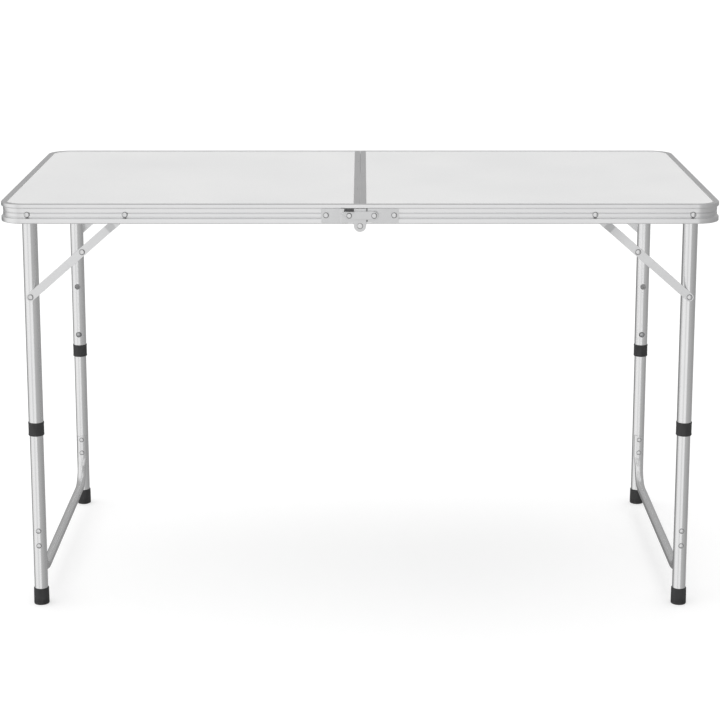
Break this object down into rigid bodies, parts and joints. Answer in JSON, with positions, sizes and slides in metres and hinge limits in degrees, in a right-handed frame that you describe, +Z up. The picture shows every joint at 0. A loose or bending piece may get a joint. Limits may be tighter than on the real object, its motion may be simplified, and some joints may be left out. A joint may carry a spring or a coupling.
{
  "type": "folding picnic table",
  "caption": "Suitcase folding picnic table: two panelled top halves in aluminium edge frames, folding tube leg sets with telescopic lower legs and hinged braces.",
  "frame": {"origin": "on the ground, under the middle of the open table", "axes": "+X along the length of the top to the right half, +Y across it to the rear edge, +Z up"},
  "size_m": [1.2, 0.6219, 0.706],
  "materials": {
    "laminate": "pale grey melamine laminate, satin",
    "frame_aluminium": "satin extruded aluminium",
    "tube_aluminium": "satin drawn aluminium tube",
    "zinc_steel": "zinc-plated pressed steel",
    "rivet_aluminium": "domed rivet heads",
    "black_plastic": "moulded, fine texture",
    "black_rubber": "moulded foot cap"
  },
  "bodies": {
    "left_half": {"left_edge_frame": "frame_aluminium", "left_top_panel": "laminate", "left_centre_rail": "frame_aluminium", "left_front_leg_pivot_rivet": "rivet_aluminium", "left_rear_leg_pivot_rivet": "rivet_aluminium", "front_hinge_left_plate": "zinc_steel", "front_hinge_pivot_rivet": "rivet_aluminium", "front_latch_keeper_pin": "rivet_aluminium", "rear_hinge_left_plate": "zinc_steel", "rear_hinge_pivot_rivet": "rivet_aluminium", "rear_latch_keeper_pin": "rivet_aluminium", "outer_handle_bracket": "black_plastic", "inner_handle_bracket": "black_plastic"},
    "right_half": {"right_edge_frame": "frame_aluminium", "right_top_panel": "laminate", "right_centre_rail": "frame_aluminium", "right_front_leg_pivot_rivet": "rivet_aluminium", "right_rear_leg_pivot_rivet": "rivet_aluminium", "front_hinge_right_plate": "zinc_steel", "rear_hinge_right_plate": "zinc_steel", "outer_catch_stud": "rivet_aluminium", "inner_catch_stud": "rivet_aluminium"},
    "left_upper_legs": {"left_leg_cross_tube": "tube_aluminium", "left_front_upper_leg": "tube_aluminium", "left_front_leg_collar": "black_plastic", "left_rear_upper_leg": "tube_aluminium", "left_rear_leg_collar": "black_plastic"},
    "left_lower_legs": {"left_stretcher": "tube_aluminium", "left_front_lower_leg": "tube_aluminium", "left_front_foot_cap": "black_rubber", "left_rear_lower_leg": "tube_aluminium", "left_rear_foot_cap": "black_rubber"},
    "left_front_button": {"left_front_snap_button": "zinc_steel"},
    "left_rear_button": {"left_rear_snap_button": "zinc_steel"},
    "left_lower_braces": {"left_front_lower_brace_link": "zinc_steel", "left_rear_lower_brace_link": "zinc_steel"},
    "left_upper_braces": {"left_front_upper_brace_link": "zinc_steel", "left_rear_upper_brace_link": "zinc_steel"},
    "right_upper_legs": {"right_leg_cross_tube": "tube_aluminium", "right_front_upper_leg": "tube_aluminium", "right_front_leg_collar": "black_plastic", "right_rear_upper_leg": "tube_aluminium", "right_rear_leg_collar": "black_plastic"},
    "right_lower_legs": {"right_stretcher": "tube_aluminium", "right_front_lower_leg": "tube_aluminium", "right_front_foot_cap": "black_rubber", "right_rear_lower_leg": "tube_aluminium", "right_rear_foot_cap": "black_rubber"},
    "right_front_button": {"right_front_snap_button": "zinc_steel"},
    "right_rear_button": {"right_rear_snap_button": "zinc_steel"},
    "right_lower_braces": {"right_front_lower_brace_link": "zinc_steel", "right_rear_lower_brace_link": "zinc_steel"},
    "right_upper_braces": {"right_front_upper_brace_link": "zinc_steel", "right_rear_upper_brace_link": "zinc_steel"},
    "latches": {"front_latch_lever": "zinc_steel", "rear_latch_lever": "zinc_steel"},
    "carry_handle": {"carry_handle": "black_plastic"},
    "outer_clasp": {"outer_clasp_lever": "zinc_steel"},
    "inner_clasp": {"inner_clasp_lever": "zinc_steel"}
  },
  "joints": [
    {"name": "centre_fold", "type": "hinge", "parent": "left_half", "child": "right_half", "pos_m": [0, 0, 0.6707], "axis": [0, 1, 0], "range_deg": [0, 75]},
    {"name": "left_leg_fold", "type": "hinge", "parent": "left_half", "child": "left_upper_legs", "pos_m": [-0.5517, 0, 0.6885], "axis": [0, -1, 0], "range_deg": [0, 90]},
    {"name": "left_lower_brace_fold", "type": "hinge", "parent": "left_upper_legs", "child": "left_lower_braces", "pos_m": [-0.5517, 0, 0.546], "axis": [0, -1, 0], "range_deg": [-132.3, 1]},
    {"name": "left_upper_brace_fold", "type": "hinge", "parent": "left_half", "child": "left_upper_braces", "pos_m": [-0.3895, 0, 0.6885], "axis": [0, -1, 0], "range_deg": [-1, 139.7]},
    {"name": "left_leg_slide", "type": "slide", "parent": "left_upper_legs", "child": "left_lower_legs", "axis": [0, 0, 1], "range_m": [0, 0.155]},
    {"name": "left_front_button_press", "type": "slide", "parent": "left_lower_legs", "child": "left_front_button", "axis": [0, -1, 0], "range_m": [0, 0.0041], "deforming": ["left_front_snap_button"]},
    {"name": "left_rear_button_press", "type": "slide", "parent": "left_lower_legs", "child": "left_rear_button", "axis": [0, 1, 0], "range_m": [0, 0.0041], "deforming": ["left_rear_snap_button"]},
    {"name": "right_leg_fold", "type": "hinge", "parent": "right_half", "child": "right_upper_legs", "pos_m": [0.5517, 0, 0.6885], "axis": [0, 1, 0], "range_deg": [0, 90]},
    {"name": "right_lower_brace_fold", "type": "hinge", "parent": "right_upper_legs", "child": "right_lower_braces", "pos_m": [0.5517, 0, 0.546], "axis": [0, 1, 0], "range_deg": [-132.3, 1]},
    {"name": "right_upper_brace_fold", "type": "hinge", "parent": "right_half", "child": "right_upper_braces", "pos_m": [0.3895, 0, 0.6885], "axis": [0, 1, 0], "range_deg": [-1, 139.7]},
    {"name": "right_leg_slide", "type": "slide", "parent": "right_upper_legs", "child": "right_lower_legs", "axis": [0, 0, 1], "range_m": [0, 0.155]},
    {"name": "right_front_button_press", "type": "slide", "parent": "right_lower_legs", "child": "right_front_button", "axis": [0, -1, 0], "range_m": [0, 0.0041], "deforming": ["right_front_snap_button"]},
    {"name": "right_rear_button_press", "type": "slide", "parent": "right_lower_legs", "child": "right_rear_button", "axis": [0, 1, 0], "range_m": [0, 0.0041], "deforming": ["right_rear_snap_button"]},
    {"name": "latch_lift", "type": "hinge", "parent": "right_half", "child": "latches", "pos_m": [0.0234, 0, 0.6885], "axis": [0, 1, 0], "range_deg": [0, 76]},
    {"name": "handle_swing", "type": "hinge", "parent": "left_half", "child": "carry_handle", "pos_m": [-0.3, 0.307, 0.691], "axis": [1, 0, 0], "range_deg": [0, 100]},
    {"name": "outer_clasp_turn", "type": "hinge", "parent": "left_half", "child": "outer_clasp", "pos_m": [-0.43, 0.3, 0.6885], "axis": [0, 1, 0], "range_deg": [0, 90]},
    {"name": "inner_clasp_turn", "type": "hinge", "parent": "left_half", "child": "inner_clasp", "pos_m": [-0.17, 0.3, 0.6885], "axis": [0, 1, 0], "range_deg": [0, 90]}
  ],
  "couplings": [
    {"joint": "left_lower_brace_fold", "follows": "left_leg_fold", "ratio": -1.4589},
    {"joint": "left_upper_brace_fold", "follows": "left_leg_fold", "ratio": 1.5411},
    {"joint": "left_front_button_press", "follows": "left_leg_slide", "ratio": 0.0258},
    {"joint": "left_rear_button_press", "follows": "left_leg_slide", "ratio": 0.0258},
    {"joint": "right_lower_brace_fold", "follows": "right_leg_fold", "ratio": -1.4589},
    {"joint": "right_upper_brace_fold", "follows": "right_leg_fold", "ratio": 1.5411},
    {"joint": "right_front_button_press", "follows": "right_leg_slide", "ratio": 0.0258},
    {"joint": "right_rear_button_press", "follows": "right_leg_slide", "ratio": 0.0258},
    {"joint": "latch_lift", "follows": "centre_fold", "ratio": 1}
  ]
}
